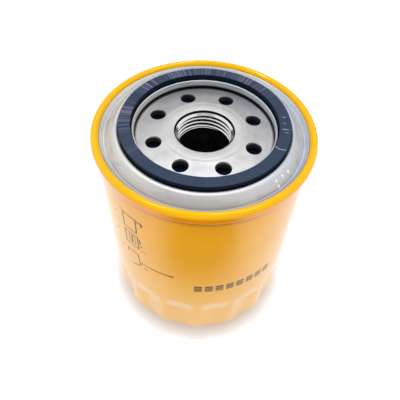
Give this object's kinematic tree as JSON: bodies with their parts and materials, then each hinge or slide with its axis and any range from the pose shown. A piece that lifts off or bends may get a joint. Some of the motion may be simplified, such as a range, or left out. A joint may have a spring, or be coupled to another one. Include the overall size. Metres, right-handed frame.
{
  "type": "spin-on oil filter",
  "caption": "Spin-on oil filter: fluted yellow canister with a rolled seam, plated lid, square-cut gasket, threaded base plate and a pleated element inside.",
  "frame": {"origin": "centre of the foot ring at the closed, fluted end", "axes": "+Z along the filter's axis, from the closed end towards the gasket and the threaded plate"},
  "size_m": [0.0966, 0.0966, 0.115],
  "materials": {
    "yellow_paint": "satin",
    "zinc_plated_sheet": "satin",
    "pressed_steel": "satin",
    "tinplate": "satin",
    "spring_steel": "satin",
    "gasket_rubber": "matte",
    "valve_rubber": "satin",
    "seam_compound": "matte",
    "plastisol": "satin",
    "filter_paper": "matte",
    "nylon": "satin"
  },
  "bodies": {
    "housing": {"canister": "yellow_paint", "seaming_lid": "zinc_plated_sheet", "seam_compound": "seam_compound", "mounting_gasket": "gasket_rubber", "base_plate": "pressed_steel", "load_spring": "spring_steel"},
    "drain_flap": {"anti_drain_valve": "valve_rubber"},
    "element": {"neck_grommet": "valve_rubber", "upper_end_cap": "tinplate", "lower_end_cap": "tinplate", "upper_potting": "plastisol", "lower_potting": "plastisol", "pleated_media": "filter_paper", "media_seam_clip": "tinplate", "centre_tube": "tinplate", "bypass_seat": "tinplate", "bypass_cage": "tinplate", "bypass_spring": "spring_steel"},
    "bypass_valve": {"bypass_poppet": "nylon", "bypass_seal": "gasket_rubber"}
  },
  "joints": [
    {"name": "flap_lift", "type": "slide", "parent": "housing", "child": "drain_flap", "axis": [0, 0, -1], "range_m": [0, 0.0012], "stiffness_N_per_m": 500, "springref_m": -0.001},
    {"name": "element_float", "type": "slide", "parent": "housing", "child": "element", "axis": [0, 0, -1], "range_m": [0, 0.0015], "stiffness_N_per_m": 1500, "springref_m": -0.012, "deforming": ["load_spring"]},
    {"name": "bypass_lift", "type": "slide", "parent": "element", "child": "bypass_valve", "axis": [0, 0, 1], "range_m": [0, 0.004], "stiffness_N_per_m": 1200, "springref_m": -0.015, "deforming": ["bypass_spring"]}
  ]
}
